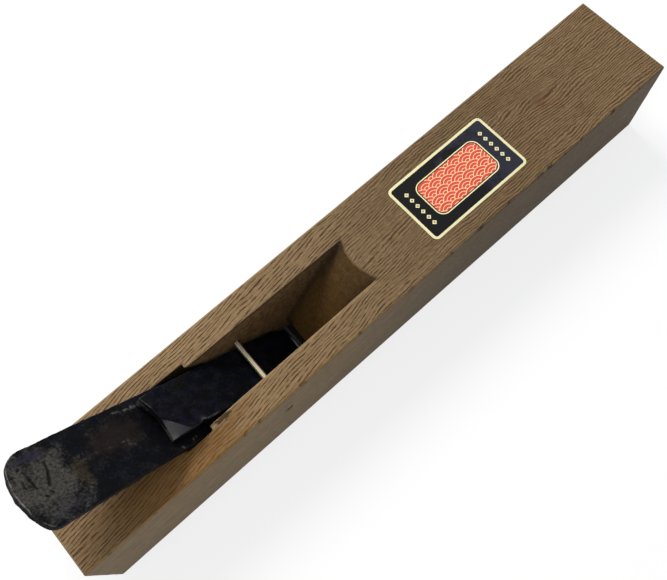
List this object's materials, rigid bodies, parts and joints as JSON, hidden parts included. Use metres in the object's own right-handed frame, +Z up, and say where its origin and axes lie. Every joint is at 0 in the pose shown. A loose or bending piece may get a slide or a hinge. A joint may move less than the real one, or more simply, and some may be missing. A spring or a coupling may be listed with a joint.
{
  "type": "japanese kanna plane",
  "caption": "Wooden pull plane: oak block with a sloping bed, laminated blade held in side grooves, chip breaker under a steel cross pin, paper label on top.",
  "frame": {"origin": "middle of the flat sole", "axes": "+X along the body from the blade's head end to the plain end, +Y across towards the far cheek, +Z up out of the sole"},
  "size_m": [0.303, 0.046, 0.0861],
  "materials": {
    "oak": "planed white oak, dry, toned by handling",
    "forged_iron": "forged soft iron, dark scale with a pitted grey patch at the head",
    "blade_steel": "hard steel, dark above and ground bright at the edge",
    "breaker_iron": "blue black forge scale",
    "breaker_steel": "ground bright at the edge",
    "pin_steel": "drawn steel rod, bare",
    "label_paper": "printed paper, slightly sized"
  },
  "bodies": {
    "plane_body": {"oak_body": "oak", "cross_pin": "pin_steel", "paper_label": "label_paper"},
    "blade": {"blade_iron_back": "forged_iron", "blade_steel_face": "blade_steel"},
    "chip_breaker": {"chip_breaker_iron": "breaker_iron", "chip_breaker_steel": "breaker_steel"}
  },
  "joints": [
    {"name": "blade_slide", "type": "slide", "parent": "plane_body", "child": "blade", "axis": [-0.7809, 0, 0.6247], "range_m": [-0.0009, 0.07]},
    {"name": "chip_breaker_slide", "type": "slide", "parent": "blade", "child": "chip_breaker", "axis": [-0.7809, 0, 0.6247], "range_m": [-0.002, 0.034]}
  ]
}
